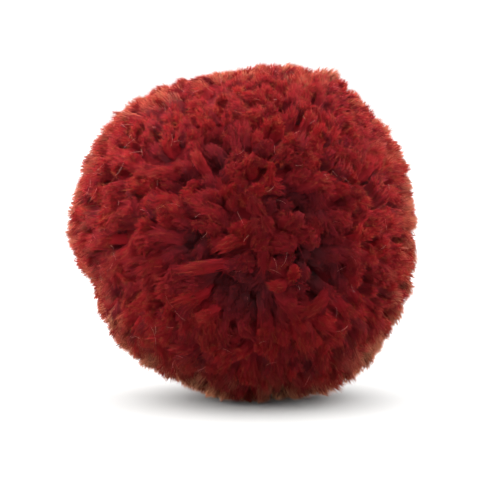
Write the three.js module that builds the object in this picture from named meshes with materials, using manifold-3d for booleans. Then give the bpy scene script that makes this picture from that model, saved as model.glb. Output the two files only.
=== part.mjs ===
// A yarn pom-pom: lengths of yarn bound tight in the middle, with their cut ends fanned out and clipped
// to a ball that rests on a flat surface. Millimetres, +Z up, and the front of the ball faces -Y.
// The origin lies on the surface, straight below the bound middle.

import * as THREE from "three";
import { mergeVertices } from "three/addons/utils/BufferGeometryUtils.js";
import Module from "manifold-3d";

// Driving dimensions
const CENTRE_HEIGHT = 28.3; // the bound middle, above the surface
const DEPTH_REACH = 29.5; // from the middle to the cut ends, straight to the front and to the back
const CORE_RADIUS = 18; // corners of the packed yarn round the binding, into which the locks are fused
const SETTLE = 0.8; // a lock that would end this near the surface, or below it, is pressed level on it
const FLOOR_GAP = 0.6; // every other lock stays at least this far above the surface

// The locks fill the cells of a grid on a cube that is blown up to a sphere: 6 faces of 7 x 7 cells.
// The sphere is turned so that one cell faces straight down and the rows run slantwise seen from the front.
const LOCKS_PER_SIDE = 7;
const FOOT_CELL = { column: 1, row: 2 }; // the cell on the cube's lowest face that faces straight down
const SPIN = 24; // degrees that the grid is turned about the upright axis
const CORNER_DRIFT = 0.28; // how far a cell's corner strays, as a share of a cell
const LENGTH_DRIFT = 0.6; // how far a lock's cut end strays in or out
const LEAN_DRIFT = 0.9; // how far a lock's cut end strays sideways

// Sections along a lock: distance from the middle as a share of its length, share of its cell that is
// filled, and share of its sideways lean
const LOCK_SECTIONS = [
  { along: 0.42, fill: 0.66, lean: 0 }, // root, inside the core
  { along: 0.9, fill: 0.9, lean: 0.15 }, // belly
  { along: 0.965, fill: 0.78, lean: 0.6 }, // shoulder
  { along: 1, fill: 0.5, lean: 1 }, // cut end
];

// Outline of the ball seen from the front: angle from +X towards +Z in degrees, and reach from the middle
const OUTLINE = [
  { angle: 0, reach: 29.4 },
  { angle: 15, reach: 29.7 },
  { angle: 30, reach: 30.5 },
  { angle: 45, reach: 30.3 },
  { angle: 60, reach: 31.3 },
  { angle: 75, reach: 29.5 },
  { angle: 90, reach: 28.0 },
  { angle: 105, reach: 28.0 },
  { angle: 120, reach: 28.5 },
  { angle: 135, reach: 29.7 },
  { angle: 150, reach: 29.8 },
  { angle: 165, reach: 29.6 },
  { angle: 180, reach: 30.0 },
  { angle: 195, reach: 28.2 },
  { angle: 210, reach: 28.1 },
  { angle: 225, reach: 28.3 },
  { angle: 240, reach: 27.9 },
  { angle: 255, reach: 28.8 },
  { angle: 270, reach: 29.3 },
  { angle: 285, reach: 29.9 },
  { angle: 300, reach: 30.7 },
  { angle: 315, reach: 30.7 },
  { angle: 330, reach: 30.5 },
  { angle: 345, reach: 30.0 },
];

// Hollows on the front where the cut ends part: middle as seen from the front, radius of the edge, and depth
const HOLLOWS = [
  { across: -5.4, up: -5.8, radius: 5.0, depth: 6.5 }, // left end of the widest one
  { across: -1.3, up: -7.5, radius: 5.9, depth: 8.0 }, // its middle
  { across: 2.7, up: -9.4, radius: 4.8, depth: 7.5 }, // its right end
  { across: 12.5, up: -3.9, radius: 5.0, depth: 8.0 },
  { across: -9.3, up: 0.0, radius: 4.2, depth: 4.5 },
  { across: 9.7, up: 7.3, radius: 3.8, depth: 4.5 },
  { across: -3.6, up: 14.3, radius: 3.6, depth: 4.0 },
];

// Multipliers of the repeatable scatter below, and the salts that give each use numbers of its own
const SCATTER_STEPS = [127.1, 311.7, 74.7, 53.3];
const SCATTER_SPREAD = 43758.5453;
const SALT = { corner: 0, length: 3, lean: 4 };

const MIDDLE = new THREE.Vector3(0, 0, CENTRE_HEIGHT);
const UP = new THREE.Vector3(0, 0, 1);
const DOWN = new THREE.Vector3(0, 0, -1);
const CELL_ANGLE = Math.PI / 2 / LOCKS_PER_SIDE;
const SIDES = 4;

const wasm = await Module();
wasm.setup();

// A repeatable number from -1 to 1 for a place on the grid, with a different one for each salt.
function scatter(place, salt) {
  const mixed = [...place, salt].reduce((sum, n, axis) => sum + n * SCATTER_STEPS[axis], 0);
  const spread = Math.sin(mixed) * SCATTER_SPREAD;
  return 2 * (spread - Math.floor(spread)) - 1;
}

function scatterVector(place, salt) {
  return new THREE.Vector3(scatter(place, salt), scatter(place, salt + 1), scatter(place, salt + 2));
}

// Direction from the middle of the cube to a place on its grid, with equal angles between the rows.
function gridDirection(place) {
  const onCube = place.map((n) => Math.tan((n / LOCKS_PER_SIDE - 0.5) * (Math.PI / 2)));
  return new THREE.Vector3(...onCube).normalize();
}

const footDirection = gridDirection([FOOT_CELL.column + 0.5, FOOT_CELL.row + 0.5, 0]);
const gridTurn = new THREE.Quaternion()
  .setFromAxisAngle(UP, THREE.MathUtils.degToRad(SPIN))
  .multiply(new THREE.Quaternion().setFromUnitVectors(footDirection, DOWN));

// Direction of a corner that has strayed. Cells that meet share it, so locks never cross.
function cornerDirection(place) {
  const drift = scatterVector(place, SALT.corner).multiplyScalar(CORNER_DRIFT * CELL_ANGLE);
  return gridDirection(place).add(drift).normalize().applyQuaternion(gridTurn);
}

// Reach of the outline at an angle in degrees, straight between the table's rows.
function outlineReach(angle) {
  const turned = (angle + 360) % 360;
  const from = OUTLINE.findLast((row) => row.angle <= turned);
  const to = OUTLINE.find((row) => row.angle > turned) ?? { ...OUTLINE[0], angle: 360 };
  const share = (turned - from.angle) / (to.angle - from.angle);
  return THREE.MathUtils.lerp(from.reach, to.reach, share);
}

function hollowDirection({ across, up }) {
  const towardsFront = -Math.sqrt(DEPTH_REACH ** 2 - across ** 2 - up ** 2);
  return new THREE.Vector3(across, towardsFront, up).normalize();
}

// How deep the hollows are in a direction: deepest in their middles, and nothing at their edges.
function hollowDepth(direction) {
  const depths = HOLLOWS.map((hollow) => {
    const away = (hollowDirection(hollow).angleTo(direction) * DEPTH_REACH) / hollow.radius;
    return hollow.depth * Math.max(0, 1 - away ** 2) ** 2;
  });
  return Math.max(...depths);
}

// How far the clipped ball reaches in a direction, before it is set down on the surface. Hollows are left out.
function ballReach(direction) {
  const angle = THREE.MathUtils.radToDeg(Math.atan2(direction.z, direction.x));
  const towardsRim = direction.x ** 2 + direction.z ** 2;
  return THREE.MathUtils.lerp(DEPTH_REACH, outlineReach(angle), towardsRim);
}

// A closed solid from rings of points, each ring counter-clockwise seen from beyond the last one.
function ringSolid(rings) {
  const points = rings.flat();
  const triangles = [];
  for (let ring = 0; ring + 1 < rings.length; ring++) {
    for (let side = 0; side < SIDES; side++) {
      const a = ring * SIDES + side;
      const b = ring * SIDES + ((side + 1) % SIDES);
      triangles.push(a, b, b + SIDES, a, b + SIDES, a + SIDES);
    }
  }
  const end = (rings.length - 1) * SIDES;
  for (let side = 1; side + 1 < SIDES; side++) {
    triangles.push(0, side + 1, side);
    triangles.push(end, end + side, end + side + 1);
  }
  return new wasm.Manifold(
    new wasm.Mesh({
      numProp: 3,
      vertProperties: new Float32Array(points.flatMap((p) => p.toArray())),
      triVerts: new Uint32Array(triangles),
    }),
  );
}

// One lock: the four corners of its cell, and its own place on the grid.
function lock(corners, place) {
  const axis = corners.reduce((sum, c) => sum.add(c), new THREE.Vector3()).normalize();
  const freeLength = ballReach(axis) + LENGTH_DRIFT * scatter(place, SALT.length);
  const toFloor = axis.z < 0 ? CENTRE_HEIGHT / -axis.z : Infinity;
  const standing = freeLength > toFloor - SETTLE;
  const lean = scatterVector(place, SALT.lean).projectOnPlane(axis).multiplyScalar(LEAN_DRIFT);
  const rays = LOCK_SECTIONS.map(({ fill }) => corners.map((c) => axis.clone().lerp(c, fill)));
  const steepest = Math.max(...rays.flat().map((ray) => -ray.z));
  const drop = CENTRE_HEIGHT - FLOOR_GAP + Math.min(lean.z, 0);
  const clearLength = steepest > 0 ? drop / steepest : Infinity;
  const rings = LOCK_SECTIONS.map((section, index) =>
    rays[index].map((ray) => {
      const cutLength = Math.min(freeLength - hollowDepth(ray), clearLength);
      const length = standing ? CENTRE_HEIGHT / -ray.z : cutLength;
      const point = ray.clone().multiplyScalar(length * section.along).add(MIDDLE);
      return standing ? point : point.addScaledVector(lean, section.lean);
    }),
  );
  return ringSolid(rings);
}

// The cell at column, row of the cube's face on one end of an axis: its corners and its middle, doubled.
function cell(axis, outward, column, row) {
  const around = [[0, 0], [1, 0], [1, 1], [0, 1]].map(([right, up]) => {
    const place = [0, 0, 0];
    place[axis] = outward ? LOCKS_PER_SIDE : 0;
    place[(axis + 1) % 3] = column + right;
    place[(axis + 2) % 3] = row + up;
    return place;
  });
  const middle = around[0].map((n, k) => n + around[2][k]);
  const ordered = outward ? around : around.reverse();
  return { corners: ordered.map(cornerDirection), middle };
}

function allLocks() {
  const locks = [];
  for (let axis = 0; axis < 3; axis++) {
    for (const outward of [false, true]) {
      for (let column = 0; column < LOCKS_PER_SIDE; column++) {
        for (let row = 0; row < LOCKS_PER_SIDE; row++) {
          const { corners, middle } = cell(axis, outward, column, row);
          locks.push(lock(corners, middle));
        }
      }
    }
  }
  return locks;
}

function core() {
  const ball = new THREE.IcosahedronGeometry(CORE_RADIUS);
  ball.deleteAttribute("normal");
  ball.deleteAttribute("uv");
  ball.translate(...MIDDLE.toArray());
  const merged = mergeVertices(ball);
  return new wasm.Manifold(
    new wasm.Mesh({
      numProp: 3,
      vertProperties: merged.attributes.position.array,
      triVerts: new Uint32Array(merged.index.array),
    }),
  );
}

function geometryOf(solid) {
  const { vertProperties, triVerts } = solid.getMesh();
  const geometry = new THREE.BufferGeometry();
  geometry.setAttribute("position", new THREE.BufferAttribute(vertProperties, 3));
  geometry.setIndex(new THREE.BufferAttribute(triVerts, 1));
  geometry.computeVertexNormals();
  return geometry;
}

const yarn = new THREE.MeshStandardMaterial({ color: 0x7a1a1d, roughness: 0.95, metalness: 0 });

const bundle = allLocks().reduce((joined, one) => joined.add(one), core());
const pompom = new THREE.Mesh(geometryOf(bundle), yarn);
pompom.name = "pompom";

const part = new THREE.Group();
part.add(pompom);

export default part;
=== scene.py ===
import math
from collections import namedtuple
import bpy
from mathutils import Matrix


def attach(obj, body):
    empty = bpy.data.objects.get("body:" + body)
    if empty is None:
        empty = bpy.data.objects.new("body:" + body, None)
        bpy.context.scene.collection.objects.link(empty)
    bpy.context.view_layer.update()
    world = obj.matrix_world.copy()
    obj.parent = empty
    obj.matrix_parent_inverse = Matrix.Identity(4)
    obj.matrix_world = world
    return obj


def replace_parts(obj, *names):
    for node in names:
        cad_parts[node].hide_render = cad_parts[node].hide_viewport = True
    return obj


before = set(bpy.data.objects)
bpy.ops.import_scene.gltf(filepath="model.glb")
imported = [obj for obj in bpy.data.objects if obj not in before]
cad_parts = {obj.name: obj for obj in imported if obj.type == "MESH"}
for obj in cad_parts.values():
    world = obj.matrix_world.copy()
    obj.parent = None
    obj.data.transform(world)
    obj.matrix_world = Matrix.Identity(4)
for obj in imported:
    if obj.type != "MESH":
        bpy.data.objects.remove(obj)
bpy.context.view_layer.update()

from copy import copy
from itertools import product

import bpy
import numpy as np
from mathutils import Quaternion, Vector

# A yarn pom-pom. Each lock of the part's solid is dressed as six cut yarn ends of two plies, and each ply
# as a soft body under fine fibres. Metres, +Z up, and the front of the ball faces -Y.

# Seeds of the random draws
YARN_SEED = 20
CLUMP_SEED = 5
rng = np.random.default_rng(YARN_SEED)
clump_rng = np.random.default_rng(CLUMP_SEED)

# Sizes of the ball, as in the part's solid
CENTRE_HEIGHT = 0.0283  # the middle of the ball, above the surface
DEPTH_REACH = 0.0295  # from the middle to the cut ends, straight to the front and to the back
LOCKS_PER_SIDE = 7  # rows of locks on each face of a cube that is blown up to a ball
FOOT_CELL = (1, 2)  # column and row of the cell on its lowest face that is turned straight down
SPIN = math.radians(24)  # turn of the cube about the upright axis
CORNER_DRIFT = 0.28  # how far a cell's corner strays, as a share of a cell
MIDDLE = np.array([0, 0, CENTRE_HEIGHT])
BINDING = MIDDLE + np.array([0.0004, 0, 0.0008])  # where the yarn is tied, a little off the middle

# Multipliers of the repeatable scatter that places the locks, as in the part's solid
SCATTER_STEPS = np.array([127.1, 311.7, 74.7])
SALT_STEP = 53.3
SCATTER_SPREAD = 43758.5453

# Outline seen from the front: angle from +X towards +Z in degrees, reach from the middle
OUTLINE_ANGLES, OUTLINE_REACHES = np.array([
    (0, 0.0294), (15, 0.0297), (30, 0.0305), (45, 0.0303), (60, 0.0313), (75, 0.0295),
    (90, 0.0280), (105, 0.0280), (120, 0.0285), (135, 0.0297), (150, 0.0298), (165, 0.0296),
    (180, 0.0300), (195, 0.0282), (210, 0.0281), (225, 0.0283), (240, 0.0279), (255, 0.0288),
    (270, 0.0293), (285, 0.0299), (300, 0.0307), (315, 0.0307), (330, 0.0305), (345, 0.0300),
]).T

# Where the clipped outline has a notch or a corner: angle and half width in degrees, reach added
TRIM_ANGLES, TRIM_HALF_WIDTHS, TRIM_REACHES = np.array([
    (26, 8, 0.0006), (51, 4, -0.0003), (59, 4, 0.0006), (100, 20, -0.0008), (121, 8, -0.0002),
    (178, 9, 0.0003), (200, 5, -0.0014), (218, 8, 0.0005), (234, 10, 0.0003), (252, 10, -0.0006),
    (272, 14, 0.0008), (306, 9, 0.0013), (338, 16, 0.0003),
]).T

# The camera, which looks down on the ball a little
CAMERA_RISE = math.radians(4.5)
CAMERA_LENS = 150  # in millimetres, as is the sensor
CAMERA_SENSOR = 36
FRAME_WIDTH = 0.0857  # width of the picture at the ball
AIM = MIDDLE + np.array([0.0012, 0, -0.0031])  # what is in the middle of the picture
TO_CAMERA = np.array([0, -math.cos(CAMERA_RISE), math.sin(CAMERA_RISE)])

# Places on the front are given as the camera sees them, across and up from the middle of the ball
PICTURE_RIGHT = np.array([1, 0, 0])
PICTURE_UP = np.array([0, math.sin(CAMERA_RISE), math.cos(CAMERA_RISE)])

# Hollows on the front where the ends part: across, up, half width, depth
HOLLOW_ACROSS, HOLLOW_UP, HOLLOW_HALF_WIDTHS, HOLLOW_DEPTHS = np.array([
    (-0.0058, -0.0090, 0.0035, 0.0056),
    (-0.0012, -0.0106, 0.0040, 0.0066),
    (0.0030, -0.0126, 0.0036, 0.0064),
    (0.0028, -0.0092, 0.0016, 0.0040),
    (0.0134, -0.0050, 0.0031, 0.0110),
    (0.0136, -0.0090, 0.0029, 0.0110),
    (-0.0127, -0.0018, 0.0020, 0.0054),
    (-0.0112, -0.0023, 0.0026, 0.0064),
    (-0.0090, -0.0029, 0.0028, 0.0070),
    (-0.0068, -0.0037, 0.0026, 0.0068),
    (0.0096, 0.0050, 0.0024, 0.0056),
    (0.0108, 0.0030, 0.0024, 0.0056),
    (-0.0036, 0.0130, 0.0026, 0.0052),
    (0.0057, -0.0142, 0.0018, 0.0048),
    (0.0018, 0.0139, 0.0015, 0.0036),
    (-0.0076, 0.0090, 0.0015, 0.0036),
    (-0.0032, 0.0167, 0.0014, 0.0028),
    (0.0072, -0.0037, 0.0016, 0.0036),
    (-0.0137, -0.0069, 0.0017, 0.0036),
    (-0.0116, 0.0072, 0.0017, 0.0036),
    (0.0049, 0.0019, 0.0013, 0.0020),
    (-0.0095, 0.0027, 0.0013, 0.0024),
    (-0.0106, 0.0120, 0.0015, 0.0030),
    (-0.0043, 0.0026, 0.0015, 0.0028),
]).T
DEEPEST_HOLLOW = np.max(HOLLOW_DEPTHS)
HOLLOW_PUSH = 0.0012  # how far the ends round a hollow lean out of it
HOLLOW_SHADE = 1.8  # how soon, with depth, the tint of sunk ends falls to the darker colour: painted shade in the hollows
SUNK_HEIGHT = 0.5  # how far sunk ends keep the colour of the cut, as a share of how deep they are

# Painted shade on the ends round a hollow: they darken down from their cut
WALL_SHADE = 2.6  # how soon their tint falls to the darker colour, round the deepest hollow
WALL_DARKNESS = np.sqrt(HOLLOW_DEPTHS / DEEPEST_HOLLOW)  # how much of that holds round each hollow
WALL_NEAR = 1.4  # how far from a hollow they darken, in its half widths
WALL_EDGE = 4  # how sharply that stops, as a power of the distance

# Single ends that lie over on their neighbours: across and up where they come out, and at the tip
LAID_ACROSS, LAID_UP, LAID_TIP_ACROSS, LAID_TIP_UP = np.array([
    (-0.0028, -0.0062, -0.0120, -0.0067),
    (0.0010, -0.0036, -0.0052, -0.0032),
    (0.0064, -0.0111, 0.0031, -0.0085),
    (0.0150, -0.0112, 0.0090, -0.0128),
    (0.0027, -0.0190, 0.0031, -0.0153),
    (-0.0038, -0.0150, -0.0080, -0.0142),
    (0.0096, 0.0160, 0.0102, 0.0186),
    (-0.0124, 0.0086, -0.0156, 0.0090),
    (-0.0060, 0.0108, -0.0084, 0.0134),
]).T
LAID_NARROWING = 0.4  # how near their plies lie to each other, as a share of the usual distance
LAID_TINT = 0.75  # how light their colour is, above the ends' average: painted light on ends that lie on top
LAID_RISE = 0.0002  # how far they arch over their neighbours

# Yarn ends: six to a lock
ENDS_PER_LOCK = (2, 3)  # columns and rows of ends in a lock's cell
END_DRIFT = 0.34  # how far an end strays from its place, as a share of its own part of the cell
SWIRL_LEAN = 0.0012  # sideways lean that neighbouring ends share
SWIRL_WAVES = 12  # waves over the ball that make it up
SWIRL_TURNS = 7.0  # how closely their crests follow each other
CLUMP_LEAN = 0.0008  # how far neighbouring ends draw together in clumps
CLUMP_WAVES = 24  # waves and closeness, as above
CLUMP_TURNS = 15
END_LEAN = 0.0013  # sideways lean of one end
END_LENGTH_DRIFT = 0.0010  # how far below the longest an end may stop
END_TINT = (0.6, 0.30)  # how light the ends' dye is, on the average, and how much it varies
END_TINT_RANGE = (0.1, 1)

# Plies: two to an end
PLIES = 2
ROOT_RADIUS = 0.0222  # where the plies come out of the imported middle
ROOT_SINK = 0.5  # how much deeper they do so in a hollow, as a share of its depth
PILE = DEPTH_REACH - ROOT_RADIUS  # height of the pile above the roots
PLY_RADIUS = 0.00108
PLY_GIRTH = (0.72, 1.20)  # how a ply's own radius varies, as a share of that
PLY_STEP = 0.00105  # from one ply to the next: side by side, so that a cut end is longer than it is wide
PLY_SCATTER = 0.00018  # how far a ply strays across that row
PLY_LEAN = 0.0004  # sideways lean of one ply
PLY_TINT_NOISE = 0.06  # how much its tint differs from that of its end
BEND_PLACE = 0.68  # how far from its root a ply starts to lean, as a share of its length
CLIP_PROUD = 0.0009  # how far the longest ends stand past the outline above
SHORTEST = 0.0017  # how far at least an end stands above its root, in the deepest hollows
SIDE_DROP = 0.0002  # how much shorter the outer plies of an end are
CUT_SLOPE = 0.0004  # how far one outer ply may stop short of the other
FLOOR_SOFT = 0.0009  # height over which the ends give way to the surface below them

# Sections of a ply's body: place along the ply, share of its radius, how far its normals point to the end
PLY_SECTIONS = [(0.0, 0.80, 0.0), (0.38, 1.00, 0.0), (0.62, 0.80, 0.2)]
PLY_END = 0.77  # place along the ply where its body ends in a point, under the fibres
PLY_SIDES = 5
PLY_WOBBLE = 0.18  # how far its corners stray in or out, as a share of its radius
PLY_TWIST = 1.2  # turn of the body and the fibres round a ply from root to cut end, in radians
BODY_BALL_SHARE = 1.8  # how far its soft shading takes after that of the whole ball

# The chart of colours: tint across; up, the yarn from root to cut end, its fuzz, and the loose fibres
CHART = "OFBake"
CHART_EDGES = (0.01, 0.99)
YARN_BAND = (0.01, 0.80)
# Its paler, more orange tips are partly painted glow of light through the fuzz
FUZZ_BAND = (0.85, 0.92)
STRAY_BAND = (0.95, 0.99)
TINT_WIDTH = 0.004  # half the width that one fibre takes up
SPIKE_WIDTHS = np.array([-1, 0, 1, 0]) * TINT_WIDTH  # where a spike's four points lie across, from its tint
TINT_NOISE = 0.03  # how much the tints of a ply's fibres differ

# The darker and the lighter dye lot: place up the chart, colour. The darker one also gives the painted
# shade of the hollows.
# Darker towards the bottom of the pile: painted shade in its depth and in the hollows
YARN_DARK = [
    (0.0, (0.030, 0.0088, 0.0092)),
    (0.3, (0.041, 0.0078, 0.0092)),
    (0.55, (0.047, 0.0044, 0.0066)),
    (0.70, (0.049, 0.0025, 0.0050)),
    (0.80, (0.049, 0.0024, 0.0042)),
    (0.85, (0.050, 0.0020, 0.0030)),
    (0.92, (0.068, 0.0064, 0.0044)),
    (0.95, (0.27, 0.064, 0.056)),
    (1.0, (0.36, 0.115, 0.100)),
]
# Darkest at the bottom, painted shade; lighter partway down than at the cut, painted light that fills the
# shade between the ends
YARN_LIGHT = [
    (0.0, (0.024, 0.0040, 0.0050)),
    (0.3, (0.140, 0.0036, 0.0074)),
    (0.55, (0.142, 0.0035, 0.0058)),
    (0.70, (0.116, 0.0029, 0.0041)),
    (0.80, (0.106, 0.0031, 0.0032)),
    (0.85, (0.106, 0.0037, 0.0034)),
    (0.92, (0.135, 0.0160, 0.0062)),
    (0.95, (0.42, 0.110, 0.096)),
    (1.0, (0.55, 0.185, 0.160)),
]

# The yarn's material
YARN_ROUGHNESS = 0.9
YARN_SPECULAR = 0.06
SOAK = 0.4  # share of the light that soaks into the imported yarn
FIBRE_SOAK = 0.2  # share of it that soaks into the fibres
SOAK_DEPTH = 0.0012
SOAK_SHARES = (1.0, 0.35, 0.3)  # of that depth, for red, green and blue light
SHEEN = 0.42
SHEEN_ROUGHNESS = 0.22
SHEEN_TINT = (0.96, 0.43, 0.22, 1)

# One kind of fibre on a ply. Places and lengths along are shares of the ply's length, and distances from
# its axis are shares of its radius.
FibreKind = namedtuple("FibreKind", [
    "count",  # on each ply
    "base",  # place of its foot along the ply, from and to
    "length",  # from and to
    "inner",  # distance of its foot from the axis, in the middle of the ply and at its rim
    "outer",  # distance of its tip from the axis, likewise
    "proud",  # how far its tip may pass the cut
    "half_width",  # in metres
    "band",  # on the chart of colours
    "ball_share",  # how far its soft shading takes after that of the whole ball
])
END_FIBRES = FibreKind(
    count=36, base=(0.46, 0.76), length=(0.18, 0.42), inner=(0.05, 0.75), outer=(0.20, 1.32),
    proud=0.03, half_width=0.000112, band=YARN_BAND, ball_share=3.0,
)
FUZZ_FIBRES = FibreKind(
    count=18, base=(0.50, 0.84), length=(0.14, 0.38), inner=(0.30, 0.80), outer=(0.60, 1.90),
    proud=0.15, half_width=0.000046, band=FUZZ_BAND, ball_share=4.0,
)
FLANK_FIBRES = FibreKind(
    count=44, base=(0.25, 0.78), length=(0.14, 0.34), inner=(0.92, 1.08), outer=(1.00, 1.45),
    proud=0.0, half_width=0.000085, band=YARN_BAND, ball_share=BODY_BALL_SHARE,
)
FLANK_NEAR = 2.5  # how far from a hollow, in its half widths, the ends show their flanks
FIBRE_SIDES = 3
FIBRE_GIRTH = (0.7, 1.2)  # how a fibre's own half width varies, as a share of its kind's
RIM_CROWDING = 0.6  # power that spreads fibres over a ply: the lower, the more of them stand at its rim
TIP_DRIFT = (0.7, 1)  # how much of their distance from the axis the tips keep as they stray inwards
TURN_DRIFT = 0.2  # how far they stray round the ply, in radians
CUT_PLACE = 1.01  # place along the ply where the fibres in its middle are cut
END_ROUNDING = 0.15  # how much sooner the fibres at the rim of a ply end than those in its middle
ENDWAYS_FROM = 0.7  # place along the ply from which tips are shaded as its end more than as its side
ENDWAYS_OVER = 0.3  # length over which that comes in
ENDWAYS_LEAST = 0.1  # how far tips below that place are shaded as its end

# Loose fibres that lie over the ball
STRAY_COUNT = 400
STRAY_LENGTH = (0.0010, 0.0028)
STRAY_LIFT = (-0.0010, 0.0001)  # how far above the clipped ball they start
STRAY_SLANT = (-0.2, 0.6)  # how steeply they rise from there
STRAY_HALF_WIDTH = 0.000018
STRAY_TAPER = 0.6  # how much slimmer they get towards the tip
STRAY_BOW = 1.0  # how far they bow sideways, as a share of their length
STRAY_RINGS = 4
STRAY_LAST_RING = 0.9  # place of the last ring's colour in the band, where the tip's is 1
STRAY_BIAS = (-0.2, 0, 0.4)  # way to the side of the ball that has more of them

# Packed yarn in the middle
CORE_RADIUS = 0.0256
CORE_SUBDIVISIONS = 5
CORE_LUMP = 0.0005  # height of its lumps
CORE_WAVES = 24  # waves over the ball that make them up, and how closely their crests follow each other
CORE_TURNS = 16
CORE_HOLLOW = 0.85  # how far it gives way under a hollow, as a share of the hollow's depth
CORE_HEIGHT = 0.6  # height in the pile from which it takes its colour, lighter there than at the cut: painted light in the gaps
CORE_TINT = 0.6  # how light its dye is
CORE_LUMP_TINT = 0.2  # how much lighter its lumps are: painted light on them, painted shade between them
CORE_TINT_NOISE = 0.1  # how much the tints of its fibres differ
CORE_FIBRES = 6000  # short fibres that stand on it
CORE_FIBRE_LENGTH = (0.0012, 0.0026)
CORE_FIBRE_LEAN = 0.9  # how far they lean over, as a share of their height
CORE_FIBRE_HALF_WIDTH = 0.000090

# Pieces of fibres, with the side of the ball that each covers
TUFT_SIDES = {
    "tufts_right": (1, 0, 0), "tufts_left": (-1, 0, 0), "tufts_back": (0, 1, 0),
    "tufts_front": (0, -1, 0), "tufts_top": (0, 0, 1), "tufts_bottom": (0, 0, -1),
}

# Soft lights: name, direction that it comes from, spread in degrees, strength, colour
LIGHTS = [
    ("key_above", (-0.13, -0.10, 0.98), 110, 2.7, (1.0, 0.98, 0.95)),
    ("rim_left", (-0.92, 0.26, 0.14), 80, 6.0, (1.0, 0.96, 0.92)),
    ("rim_right", (0.86, 0.40, 0.10), 80, 3.0, (1.0, 0.96, 0.92)),
]
SURROUND = (2.20, 4.6)  # brightness of the surround in front of the object and behind it
SEEN_SURROUND = 1.15  # its brightness as the camera sees it
WHITE = (1, 1, 1, 1)
FLOOR_SIZE = 4.0
FLOOR_COLOUR = (0.33, 0.33, 0.33, 1)
FLOOR_ROUGHNESS = 0.9

# Sockets of a Mix node that mixes colours
MIX_FACTOR = 0
MIX_FIRST = 6
MIX_SECOND = 7
MIX_RESULT = 2

# Points, places on the chart of colours and shading normals, with a row for each ply or fibre, and the
# triangles of one row
Shape = namedtuple("Shape", "points triangles places normals")

# Yarn ends: direction from the middle, sideways lean, tint, how far below the longest each stops, and
# whether it lies over on its neighbours, with a row for each end
YarnEnds = namedtuple("YarnEnds", "directions leans tints shortfalls laid_over")


def unit(vectors):
    return vectors / np.linalg.norm(vectors, axis=-1, keepdims=True)


def tangent_part(vectors, directions):
    """The part of each vector that lies across its direction."""
    return vectors - directions * np.sum(vectors * directions, axis=-1, keepdims=True)


def scatter(places, salt):
    """A repeatable number from -1 to 1 for each place on the grid."""
    spread = np.sin(places @ SCATTER_STEPS + salt * SALT_STEP) * SCATTER_SPREAD
    return 2 * (spread - np.floor(spread)) - 1


def grid_directions(places):
    """Directions from the middle of a cube to places on its grid, with equal angles between the rows."""
    return unit(np.tan((places / LOCKS_PER_SIDE - 0.5) * (math.pi / 2)))


def corner_directions(places):
    """Directions of the strayed corners of the locks' cells, turned as in the part's solid."""
    cell_angle = math.pi / 2 / LOCKS_PER_SIDE
    drift = np.stack([scatter(places, salt) for salt in range(3)], axis=-1)
    strayed = unit(grid_directions(places) + drift * CORNER_DRIFT * cell_angle)
    column, row = FOOT_CELL
    foot = grid_directions(np.array([column + 0.5, row + 0.5, 0.0]))
    turn = Quaternion((0, 0, 1), SPIN) @ Vector(foot).rotation_difference(Vector((0, 0, -1)))
    return strayed @ np.array(turn.to_matrix()).T


def lock_corners():
    """The four corners of each lock's cell, as unit directions."""
    cells = range(LOCKS_PER_SIDE)
    places = []
    for axis, end, column, row in product(range(3), (0, LOCKS_PER_SIDE), cells, cells):
        for right, up in ((0, 0), (1, 0), (1, 1), (0, 1)):
            place = [0.0, 0.0, 0.0]
            place[axis] = end
            place[(axis + 1) % 3] = column + right
            place[(axis + 2) % 3] = row + up
            places.append(place)
    return corner_directions(np.array(places)).reshape(-1, 4, 3)


def front_directions(across, up):
    """Directions from the middle to places on the front of the ball."""
    towards = np.sqrt(DEPTH_REACH**2 - across**2 - up**2)
    return unit(np.outer(across, PICTURE_RIGHT) + np.outer(up, PICTURE_UP) + np.outer(towards, TO_CAMERA))


def hollow_distance(directions):
    """How far each direction is from the middle of each hollow, in the hollow's half widths."""
    middles = front_directions(HOLLOW_ACROSS, HOLLOW_UP)
    return np.arccos(np.clip(directions @ middles.T, -1, 1)) * DEPTH_REACH / HOLLOW_HALF_WIDTHS


def hollow_nearness(directions):
    """1 in the middle of a hollow, falling to 0 outside it, for each direction and hollow."""
    return np.exp(-hollow_distance(directions) ** 2)


def hollow_depth(directions):
    return np.max(hollow_nearness(directions) * HOLLOW_DEPTHS, axis=1)


def tint_kept_in_hollow_shade(depth):
    """Share of its tint that yarn at some depth in a hollow keeps under the hollow's painted shade."""
    return np.clip(1 - HOLLOW_SHADE * depth / DEEPEST_HOLLOW, 0, 1)


def ball_reach(directions):
    """How far the clipped ball reaches in each direction, hollows left out."""
    angle = np.degrees(np.arctan2(directions[:, 2], directions[:, 0]))
    rim = np.interp(angle, OUTLINE_ANGLES, OUTLINE_REACHES, period=360)
    turn = (angle[:, None] - TRIM_ANGLES + 180) % 360 - 180
    rim = rim + np.sum(TRIM_REACHES * np.exp(-((turn / TRIM_HALF_WIDTHS) ** 2)), axis=1)
    towards_rim = directions[:, 0] ** 2 + directions[:, 2] ** 2
    return DEPTH_REACH + (rim - DEPTH_REACH) * towards_rim


def end_directions():
    """Directions of the yarn ends, spread over the cells of the locks."""
    corners = lock_corners()
    columns, rows = ENDS_PER_LOCK
    ends = []
    for column, row in product(range(columns), range(rows)):
        drift = rng.uniform(-END_DRIFT, END_DRIFT, (2, len(corners), 1))
        across = (column + 0.5 + drift[0]) / columns
        up = (row + 0.5 + drift[1]) / rows
        low = corners[:, 0] * (1 - across) + corners[:, 1] * across
        high = corners[:, 3] * (1 - across) + corners[:, 2] * across
        ends.append(unit(low * (1 - up) + high * up))
    return np.concatenate(ends)


def random_waves(count, turns, source):
    """Directions and phases of random waves over the ball."""
    return source.normal(size=(count, 3)) * turns, source.uniform(0, 2 * math.pi, count)


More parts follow.
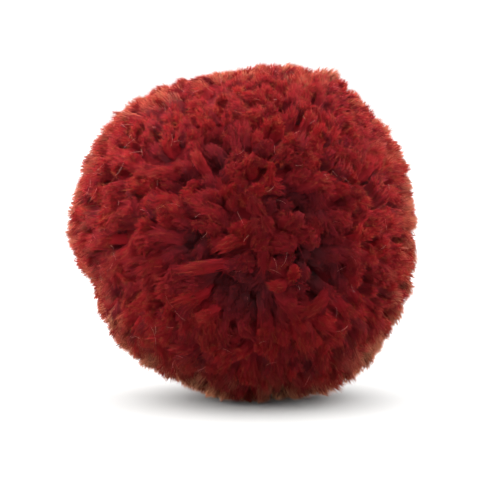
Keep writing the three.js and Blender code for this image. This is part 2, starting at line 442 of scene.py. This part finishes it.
def swirl(directions):
    """A sideways unit vector for each direction that turns smoothly over the ball."""
    waves, phases = random_waves(SWIRL_WAVES, SWIRL_TURNS, rng)
    slopes = np.cos(directions @ waves.T + phases)
    return unit(np.cross(directions, slopes @ unit(waves)))


def clumps(directions):
    """A sideways vector for each direction that draws neighbouring ends together."""
    waves, phases = random_waves(CLUMP_WAVES, CLUMP_TURNS, clump_rng)
    slopes = np.cos(directions @ waves.T + phases) * math.sqrt(2 / CLUMP_WAVES)
    return tangent_part(slopes @ unit(waves), directions)


def end_leans(directions):
    """Sideways lean of the yarn ends: shared by neighbours, out of the hollows, and each its own."""
    lean = swirl(directions) * SWIRL_LEAN + clumps(directions) * CLUMP_LEAN
    lean += rng.normal(size=directions.shape) * END_LEAN
    middles = front_directions(HOLLOW_ACROSS, HOLLOW_UP)
    for middle, near in zip(middles, hollow_nearness(directions).T):
        away = unit(tangent_part(directions - middle, directions))
        lean += away * (near * HOLLOW_PUSH)[:, None]
    return tangent_part(lean, directions)


def yarn_ends():
    """All the yarn ends, the ones that lie over among them."""
    directions = end_directions()
    leans = end_leans(directions)
    tints = np.clip(rng.normal(*END_TINT, len(directions)), *END_TINT_RANGE)
    shortfalls = rng.uniform(0, 1, len(directions)) ** 2 * END_LENGTH_DRIFT
    laid_over = np.zeros(len(directions), dtype=bool)
    tips = front_directions(LAID_TIP_ACROSS, LAID_TIP_UP)
    for start, tip in zip(front_directions(LAID_ACROSS, LAID_UP), tips):
        nearest = np.argmax(directions @ start)
        way = directions[nearest]
        leans[nearest] = (tip / (tip @ way) - way) * DEPTH_REACH
        tints[nearest] = LAID_TINT
        shortfalls[nearest] = 0
        laid_over[nearest] = True
    return YarnEnds(directions, leans, tints, shortfalls, laid_over)


def for_plies(rows):
    """The rows of the yarn ends, each repeated for its plies."""
    return np.repeat(rows, PLIES, axis=0)


class Plies:
    """The plies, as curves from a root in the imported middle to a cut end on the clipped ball.

    Every value has a row for each ply.
    """

    def __init__(self, ends):
        self.end = for_plies(ends.directions)
        self.laid_over = for_plies(ends.laid_over)
        lean, shortfall = self.place_in_ends(ends)
        self.run_to_cut(lean, shortfall)
        self.set_looks(ends.tints)

    def place_in_ends(self, ends):
        """Sets the plies side by side. Gives each one's sideways lean and how far short it stops."""
        count = len(self.end)
        row = np.tile(np.linspace(-1, 1, PLIES), len(ends.directions))
        across = tangent_part(rng.normal(size=ends.directions.shape), ends.directions)
        side = for_plies(unit(across))
        other = np.cross(self.end, side)
        apart = np.where(self.laid_over, LAID_NARROWING, 1) * PLY_STEP / 2
        self.offset = side * (row * apart)[:, None] + other * rng.normal(0, PLY_SCATTER, (count, 1))
        lean = for_plies(ends.leans) + rng.normal(size=(count, 3)) * PLY_LEAN
        slope = for_plies(rng.uniform(-CUT_SLOPE, CUT_SLOPE, len(ends.directions)))
        shortfall = for_plies(ends.shortfalls) + row * slope + np.abs(row) * SIDE_DROP
        return lean, shortfall

    def run_to_cut(self, lean, shortfall):
        """Sets the curves, by a root, a bend and a tip, and the directions across and along them."""
        root_way = unit(self.end + self.offset / DEPTH_REACH)
        self.tip_way = unit(self.end + (self.offset + lean) / DEPTH_REACH)
        self.sunk = np.where(self.laid_over, 0, hollow_depth(self.tip_way))
        root_radius = ROOT_RADIUS - ROOT_SINK * self.sunk
        self.root = BINDING + root_way * root_radius[:, None]
        reach = ball_reach(self.tip_way) - self.sunk + CLIP_PROUD - shortfall
        self.tip = MIDDLE + self.tip_way * np.maximum(reach, root_radius + SHORTEST)[:, None]
        length = np.linalg.norm(self.tip - self.root, axis=1)
        bend_rise = length * np.where(self.laid_over, 1, BEND_PLACE)
        highest = PILE + np.where(self.laid_over, LAID_RISE, 0)
        self.bend = self.root + root_way * np.minimum(bend_rise, highest)[:, None]
        axis = unit(self.tip - self.root)
        self.side = unit(np.cross(axis, rng.normal(size=axis.shape)))
        self.other = np.cross(axis, self.side)
        self.heading = unit(self.tip - self.bend)
        self.outward = unit(self.tip - MIDDLE)

    def set_looks(self, tints):
        """Sets tints, with painted shade in and round the hollows, and girths."""
        count = len(self.end)
        # Sunk ends take painted shade, darker the deeper their hollow
        self.tint = (for_plies(tints) + rng.normal(0, PLY_TINT_NOISE, count)) * tint_kept_in_hollow_shade(self.sunk)
        distance = hollow_distance(self.tip_way)
        # Painted shade on the walls of the hollows, strongest round the deepest
        near_wall = np.exp(-(distance / WALL_NEAR) ** WALL_EDGE) * WALL_DARKNESS
        self.wall = np.where(self.laid_over, 0, np.max(near_wall, axis=1))[:, None]
        self.sunk_share = SUNK_HEIGHT * self.sunk[:, None] / PILE
        girth = np.where(self.laid_over, PLY_GIRTH[0], rng.uniform(*PLY_GIRTH, count))
        self.radius = PLY_RADIUS * girth[:, None]
        self.shows_flank = self.laid_over | (np.min(distance, axis=1) < FLANK_NEAR)

    def some(self, chosen):
        """Only the chosen plies."""
        fewer = copy(self)
        for name, rows in vars(self).items():
            setattr(fewer, name, rows[chosen])
        return fewer

    def tint_with_wall_shade(self, height):
        """The plies' tint at heights in the pile: round a hollow it darkens down from the cut, as painted
        shade.
        """
        return self.tint[:, None] * np.clip(1 - WALL_SHADE * self.wall * (1 - height), 0, 1)

    def point(self, along, turn, out):
        """Points beside the plies: place along, turn round the axis, distance out."""
        t = along[..., None]
        axis = ((1 - t) ** 2 * self.root[:, None] + 2 * t * (1 - t) * self.bend[:, None]
                + t**2 * self.tip[:, None])
        return axis + self.spread(turn) * out[..., None]

    def spread(self, turn):
        """Directions straight out from the plies' axes at the given turns."""
        return np.cos(turn)[..., None] * self.side[:, None] + np.sin(turn)[..., None] * self.other[:, None]

    def soft_normals(self, turn, out, endways, ball_share):
        """Normals of a soft round end: out from its axis, the way that it points, and out from the ball."""
        across = (self.offset[:, None] + self.spread(turn) * out[..., None]) / PLY_RADIUS
        own = unit(across * (1 - endways)[..., None] + self.heading[:, None] * endways[..., None])
        return unit(own + ball_share * self.outward[:, None])


def settle(points):
    """Lets points give way to the surface below, so that none passes it."""
    low = points[..., 2] < FLOOR_SOFT
    pressed = FLOOR_SOFT * np.exp((points[..., 2] - FLOOR_SOFT) / FLOOR_SOFT)
    points[..., 2] = np.where(low, pressed, points[..., 2])
    return points


def pile_height(points):
    """Height of points in the pile: 0 at the roots and 1 on the clipped ball."""
    from_middle = points - MIDDLE
    radius = np.linalg.norm(from_middle, axis=-1)
    reach = ball_reach((from_middle / radius[..., None]).reshape(-1, 3)).reshape(radius.shape)
    return 1 - (reach - radius) / PILE


def chart_place(across, along, band):
    """Places on the chart of colours, within one of its bands."""
    up = band[0] + (band[1] - band[0]) * np.clip(along, 0, 1)
    return np.stack([np.clip(across, *CHART_EDGES), up], axis=-1)


def colour_places(tint, along, band):
    """Places on the chart of colours for whole bodies: a tint and a place along for each point."""
    wobble = np.linspace(-TINT_WIDTH, TINT_WIDTH, along.shape[1])
    return chart_place(np.broadcast_to(tint + wobble, along.shape), along, band)


def tapered_triangles(rings, sides):
    """Triangles of a closed tube that ends in a point, from its points ring by ring."""
    triangles = []
    for ring, side in product(range(rings - 1), range(sides)):
        a = ring * sides + side
        b = ring * sides + (side + 1) % sides
        triangles += [(a, b, b + sides), (a, b + sides, a + sides)]
    last = (rings - 1) * sides
    for side in range(sides):
        triangles.append((last + side, last + (side + 1) % sides, last + sides))
    for side in range(1, sides - 1):
        triangles.append((0, side + 1, side))
    return np.array(triangles)


def ply_bodies(plies):
    """The plies' soft bodies."""
    shape = (len(plies.root), PLY_SIDES)
    turn = np.arange(PLY_SIDES) * 2 * math.pi / PLY_SIDES
    rings = []
    normals = []
    for along, share, endways in PLY_SECTIONS:
        turned = np.broadcast_to(turn + PLY_TWIST * along, shape)
        out = plies.radius * share * rng.uniform(1 - PLY_WOBBLE, 1 + PLY_WOBBLE, shape)
        rings.append(plies.point(np.full(shape, along), turned, out))
        normals.append(plies.soft_normals(turned, out, np.full(shape, endways), BODY_BALL_SHARE))
    zero = np.zeros((len(plies.root), 1))
    rings.append(plies.point(zero + PLY_END, zero, zero))
    normals.append(plies.soft_normals(zero, zero, zero + 1, BODY_BALL_SHARE))
    points = np.concatenate(rings, axis=1)
    height = pile_height(points)
    places = colour_places(plies.tint_with_wall_shade(height), height + plies.sunk_share, YARN_BAND)
    triangles = tapered_triangles(len(PLY_SECTIONS), PLY_SIDES)
    return Shape(points, triangles, places, np.concatenate(normals, axis=1))


def ply_fibres(plies, kind):
    """One kind of fibre: slim spikes on each ply."""
    shape = (len(plies.root), kind.count)
    base = rng.uniform(*kind.base, shape)
    turn = rng.uniform(0, 2 * math.pi, shape)
    share = rng.uniform(0, 1, shape) ** RIM_CROWDING
    inner = kind.inner[0] + (kind.inner[1] - kind.inner[0]) * share
    outer = kind.outer[0] + (kind.outer[1] - kind.outer[0]) * share * rng.uniform(*TIP_DRIFT, shape)
    cut = CUT_PLACE - END_ROUNDING * outer**2 + kind.proud * rng.uniform(0, 1, shape) ** 2
    tip = np.minimum(base + rng.uniform(*kind.length, shape), cut)
    tip_turn = turn + PLY_TWIST * (tip - base) + rng.normal(0, TURN_DRIFT, shape)
    foot = plies.point(base, turn, plies.radius * inner)
    end = plies.point(tip, tip_turn, plies.radius * outer)
    tint = plies.tint_with_wall_shade(pile_height((foot + end) / 2)) + rng.normal(0, TINT_NOISE, shape)
    half_width = kind.half_width * rng.uniform(*FIBRE_GIRTH, shape)
    endways = np.clip((tip - ENDWAYS_FROM) / ENDWAYS_OVER, ENDWAYS_LEAST, 1)
    normals = plies.soft_normals(tip_turn, plies.radius * outer, endways, kind.ball_share)
    heights = [pile_height(points) + plies.sunk_share for points in (foot, end)]
    return spikes(foot, end, half_width, tint, heights, kind.band, normals)


def fibre_corners(centre, side, other, half_width):
    """The corners of a fibre's section."""
    turns = [2 * math.pi * corner / FIBRE_SIDES for corner in range(FIBRE_SIDES)]
    return [centre + (math.cos(turn) * side + math.sin(turn) * other) * half_width for turn in turns]


def spikes(foot, end, half_width, tint, heights, band, normals):
    """Spikes from a wide foot to a sharp end, coloured by the heights of both in the pile."""
    rows, count = foot.shape[:2]
    axis = unit(end - foot)
    side = unit(np.cross(axis, rng.normal(size=axis.shape)))
    other = np.cross(axis, side)
    corners = fibre_corners(foot, side, other, half_width[..., None])
    points = np.stack([*corners, end], axis=2)
    own_points = points.shape[2]
    starts = own_points * np.arange(count)[:, None, None]
    triangles = (tapered_triangles(1, FIBRE_SIDES) + starts).reshape(-1, 3)
    across = tint[..., None] + SPIKE_WIDTHS
    foot_height, end_height = heights
    along = np.stack([foot_height] * FIBRE_SIDES + [end_height], axis=-1)
    places = chart_place(across, along, band).reshape(rows, -1, 2)
    return Shape(points.reshape(rows, -1, 3), triangles, places, np.repeat(normals, own_points, axis=1))


def join(shapes):
    """One shape from several with the same rows."""
    starts = np.cumsum([0] + [shape.points.shape[1] for shape in shapes[:-1]])
    return Shape(
        np.concatenate([shape.points for shape in shapes], axis=1),
        np.concatenate([shape.triangles + start for shape, start in zip(shapes, starts)]),
        np.concatenate([shape.places for shape in shapes], axis=1),
        np.concatenate([shape.normals for shape in shapes], axis=1),
    )


def dress(piece, places, material):
    """Colours a piece by a place on the chart for each point, and lets it ride on the part's body."""
    mesh = piece.data
    corners = np.zeros(len(mesh.loops), dtype=np.int32)
    mesh.loops.foreach_get("vertex_index", corners)
    chart = mesh.uv_layers.new(name=CHART)
    chart.uv.foreach_set("vector", places[corners].astype(np.float32).ravel())
    mesh.shade_smooth()
    mesh.materials.append(material)
    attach(piece, "root")


def make_piece(name, shape, material):
    """A mesh object from a shape, shaded by the shape's own normals where it has them."""
    starts = np.arange(len(shape.points))[:, None, None] * shape.points.shape[1]
    mesh = bpy.data.meshes.new(name)
    mesh.from_pydata(shape.points.reshape(-1, 3), [], (shape.triangles + starts).reshape(-1, 3))
    piece = bpy.data.objects.new(name, mesh)
    bpy.context.collection.objects.link(piece)
    dress(piece, shape.places.reshape(-1, 2), material)
    if shape.normals is not None:
        mesh.normals_split_custom_set_from_vertices(shape.normals.reshape(-1, 3))
    return piece


def make_plies(plies, material):
    """The bodies of all the plies, as one piece."""
    bodies = ply_bodies(plies)
    settle(bodies.points)
    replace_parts(make_piece("ply_bodies", bodies, material), "pompom")


def make_tufts(plies, material):
    """The fibres of the yarn ends, as one piece for each side of the ball."""
    tufts = join([ply_fibres(plies, END_FIBRES), ply_fibres(plies, FUZZ_FIBRES)])
    settle(tufts.points)
    nearest = np.argmax(plies.end @ np.array(list(TUFT_SIDES.values())).T, axis=1)
    for number, name in enumerate(TUFT_SIDES):
        mine = nearest == number
        shape = Shape(tufts.points[mine], tufts.triangles, tufts.places[mine], tufts.normals[mine])
        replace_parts(make_piece(name, shape, material), "pompom")


def make_flanks(plies, material):
    """Fibres on the sides of the plies that show in a hollow."""
    make_piece("flank_fibres", ply_fibres(plies.some(plies.shows_flank), FLANK_FIBRES), material)


def middle_surface():
    """A function from directions to points on the lumpy packed middle, and their tints, with painted light
    on the lumps and painted shade under the hollows.
    """
    waves, phases = random_waves(CORE_WAVES, CORE_TURNS, rng)

    def surface(directions):
        lumps = np.sin(directions @ waves.T + phases).sum(axis=1) / math.sqrt(CORE_WAVES)
        depth = hollow_depth(directions)
        radius = CORE_RADIUS + CORE_LUMP * lumps - CORE_HOLLOW * depth
        # Painted light on the lumps, painted shade between them and under the hollows
        tints = (CORE_TINT + CORE_LUMP_TINT * lumps) * tint_kept_in_hollow_shade(depth)
        return MIDDLE + directions * radius[:, None], tints

    return surface


def make_middle(surface, material):
    """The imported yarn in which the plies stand, as a lumpy ball that shows only between them."""
    bpy.ops.mesh.primitive_ico_sphere_add(subdivisions=CORE_SUBDIVISIONS, radius=1)
    middle = bpy.context.object
    middle.name = middle.data.name = "packed_middle"
    points, tints = surface(np.array([vertex.co for vertex in middle.data.vertices]))
    middle.data.vertices.foreach_set("co", points.astype(np.float32).ravel())
    dress(middle, chart_place(tints, np.full(len(points), CORE_HEIGHT), YARN_BAND), material)


def make_middle_fibres(surface, material):
    """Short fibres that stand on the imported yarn."""
    column = (CORE_FIBRES, 1)
    ways = unit(rng.normal(size=(CORE_FIBRES, 3)))
    feet, tints = surface(ways)
    rise = ways + tangent_part(rng.normal(size=ways.shape), ways) * CORE_FIBRE_LEAN
    ends = feet + rise * rng.uniform(*CORE_FIBRE_LENGTH, column)
    half_width = np.full(column, CORE_FIBRE_HALF_WIDTH)
    height = np.full(column, CORE_HEIGHT)
    tints = (tints + rng.normal(0, CORE_TINT_NOISE, CORE_FIBRES))[:, None]
    fibres = spikes(
        feet[:, None], ends[:, None], half_width, tints, (height, height), YARN_BAND, ways[:, None]
    )
    settle(fibres.points)
    make_piece("middle_fibres", fibres, material)


def make_strays(material):
    """Loose fibres: slim bowed threads that lie at a slant over the clipped ends."""
    column = (STRAY_COUNT, 1)
    ways = unit(rng.normal(size=(STRAY_COUNT, 3)) + STRAY_BIAS)
    level = tangent_part(rng.normal(size=ways.shape), ways)
    run = unit(level + ways * rng.uniform(*STRAY_SLANT, column))
    bow = tangent_part(np.cross(run, ways), run) * rng.uniform(-STRAY_BOW, STRAY_BOW, column)
    length = rng.uniform(*STRAY_LENGTH, column)
    lift = rng.uniform(*STRAY_LIFT, STRAY_COUNT) - hollow_depth(ways)
    start = MIDDLE + ways * (ball_reach(ways) + lift)[:, None]
    side = unit(np.cross(run, ways))
    other = np.cross(run, side)
    corners = []
    for step in np.linspace(0, 1, STRAY_RINGS + 1)[:-1]:
        centre = start + (run * step + bow * step**2) * length
        corners += fibre_corners(centre, side, other, STRAY_HALF_WIDTH * (1 - STRAY_TAPER * step))
    tip = start + (run + bow) * length
    points = settle(np.stack([*corners, tip], axis=1))
    ring_places = np.repeat(np.linspace(0, STRAY_LAST_RING, STRAY_RINGS), FIBRE_SIDES)
    along = np.broadcast_to(np.append(ring_places, 1.0), points.shape[:2])
    places = colour_places(rng.uniform(0, 1, column), along, STRAY_BAND)
    triangles = tapered_triangles(STRAY_RINGS, FIBRE_SIDES)
    make_piece("stray_fibres", Shape(points, triangles, places, None), material)


def ramp(nodes, stops):
    """A colour ramp node with the given places and colours."""
    node = nodes.new("ShaderNodeValToRGB")
    elements = node.color_ramp.elements
    while len(elements) < len(stops):
        elements.new(0.5)  # moved to its place below
    for element, (place, colour) in zip(elements, stops):
        element.position = place
        element.color = (*colour, 1)
    return node


def yarn_material(name, soak):
    """Yarn whose colour runs from root to tip, between a darker and a lighter dye lot across the chart."""
    material = bpy.data.materials.new(name)
    material.use_nodes = True
    nodes, links = material.node_tree.nodes, material.node_tree.links
    shader = nodes["Principled BSDF"]
    chart = nodes.new("ShaderNodeUVMap")
    chart.uv_map = CHART
    split = nodes.new("ShaderNodeSeparateXYZ")
    links.new(chart.outputs["UV"], split.inputs["Vector"])
    mix = nodes.new("ShaderNodeMix")
    mix.data_type = "RGBA"
    for stops, socket in ((YARN_DARK, MIX_FIRST), (YARN_LIGHT, MIX_SECOND)):
        colours = ramp(nodes, stops)
        links.new(split.outputs["Y"], colours.inputs["Fac"])
        links.new(colours.outputs["Color"], mix.inputs[socket])
    links.new(split.outputs["X"], mix.inputs[MIX_FACTOR])
    links.new(mix.outputs[MIX_RESULT], shader.inputs["Base Color"])
    settings = {
        "Roughness": YARN_ROUGHNESS,
        "Specular IOR Level": YARN_SPECULAR,
        "Subsurface Weight": soak,
        "Subsurface Radius": SOAK_SHARES,
        "Subsurface Scale": SOAK_DEPTH,
        "Sheen Weight": SHEEN,
        "Sheen Roughness": SHEEN_ROUGHNESS,
        "Sheen Tint": SHEEN_TINT,
    }
    for socket, value in settings.items():
        shader.inputs[socket].default_value = value
    return material


def make_camera():
    data = bpy.data.cameras.new("camera")
    data.lens = CAMERA_LENS
    data.sensor_width = CAMERA_SENSOR
    camera = bpy.data.objects.new("camera", data)
    bpy.context.collection.objects.link(camera)
    back = Vector(TO_CAMERA)
    camera.location = Vector(AIM) + back * (FRAME_WIDTH * CAMERA_LENS / CAMERA_SENSOR)
    camera.rotation_euler = (-back).to_track_quat("-Z", "Y").to_euler()
    bpy.context.scene.camera = camera


def make_lights():
    """Broad, even lights from far off, so that the floor has no bright spot and no edge."""
    for name, source, spread, strength, colour in LIGHTS:
        data = bpy.data.lights.new(name, "SUN")
        data.angle = math.radians(spread)
        data.energy = strength
        data.color = colour
        light = bpy.data.objects.new(name, data)
        bpy.context.collection.objects.link(light)
        light.rotation_euler = (-Vector(source)).to_track_quat("-Z", "Y").to_euler()


def make_world():
    """A white surround, dimmer in front of the object than behind it, and seen as plain white."""
    world = bpy.data.worlds.new("studio")
    bpy.context.scene.world = world
    world.use_nodes = True
    nodes, links = world.node_tree.nodes, world.node_tree.links
    nodes.clear()
    output = nodes.new("ShaderNodeOutputWorld")
    seen = nodes.new("ShaderNodeBackground")
    seen.inputs["Strength"].default_value = SEEN_SURROUND
    seen.inputs["Color"].default_value = WHITE
    lit = nodes.new("ShaderNodeBackground")
    lit.inputs["Color"].default_value = WHITE
    way = nodes.new("ShaderNodeTexCoord")
    split = nodes.new("ShaderNodeSeparateXYZ")
    fade = nodes.new("ShaderNodeMapRange")
    fade.inputs["From Min"].default_value = -1
    fade.inputs["To Min"].default_value, fade.inputs["To Max"].default_value = SURROUND
    links.new(way.outputs["Generated"], split.inputs["Vector"])
    links.new(split.outputs["Y"], fade.inputs["Value"])
    links.new(fade.outputs["Result"], lit.inputs["Strength"])
    path = nodes.new("ShaderNodeLightPath")
    mix = nodes.new("ShaderNodeMixShader")
    links.new(path.outputs["Is Camera Ray"], mix.inputs[0])
    links.new(lit.outputs[0], mix.inputs[1])
    links.new(seen.outputs[0], mix.inputs[2])
    links.new(mix.outputs[0], output.inputs["Surface"])
    bpy.context.scene.view_settings.view_transform = "Standard"


def make_floor():
    bpy.ops.mesh.primitive_plane_add(size=FLOOR_SIZE)
    floor = bpy.context.object
    floor.name = "floor"
    material = bpy.data.materials.new("white_floor")
    material.use_nodes = True
    shader = material.node_tree.nodes["Principled BSDF"]
    shader.inputs["Base Color"].default_value = FLOOR_COLOUR
    shader.inputs["Roughness"].default_value = FLOOR_ROUGHNESS
    floor.data.materials.append(material)


make_camera()
packed_yarn = yarn_material("packed_yarn", SOAK)
yarn_fibres = yarn_material("yarn_fibres", FIBRE_SOAK)
plies = Plies(yarn_ends())
make_plies(plies, packed_yarn)
make_tufts(plies, yarn_fibres)
make_flanks(plies, yarn_fibres)
surface = middle_surface()
make_middle(surface, packed_yarn)
make_middle_fibres(surface, yarn_fibres)
make_strays(yarn_fibres)
make_floor()
make_lights()
make_world()
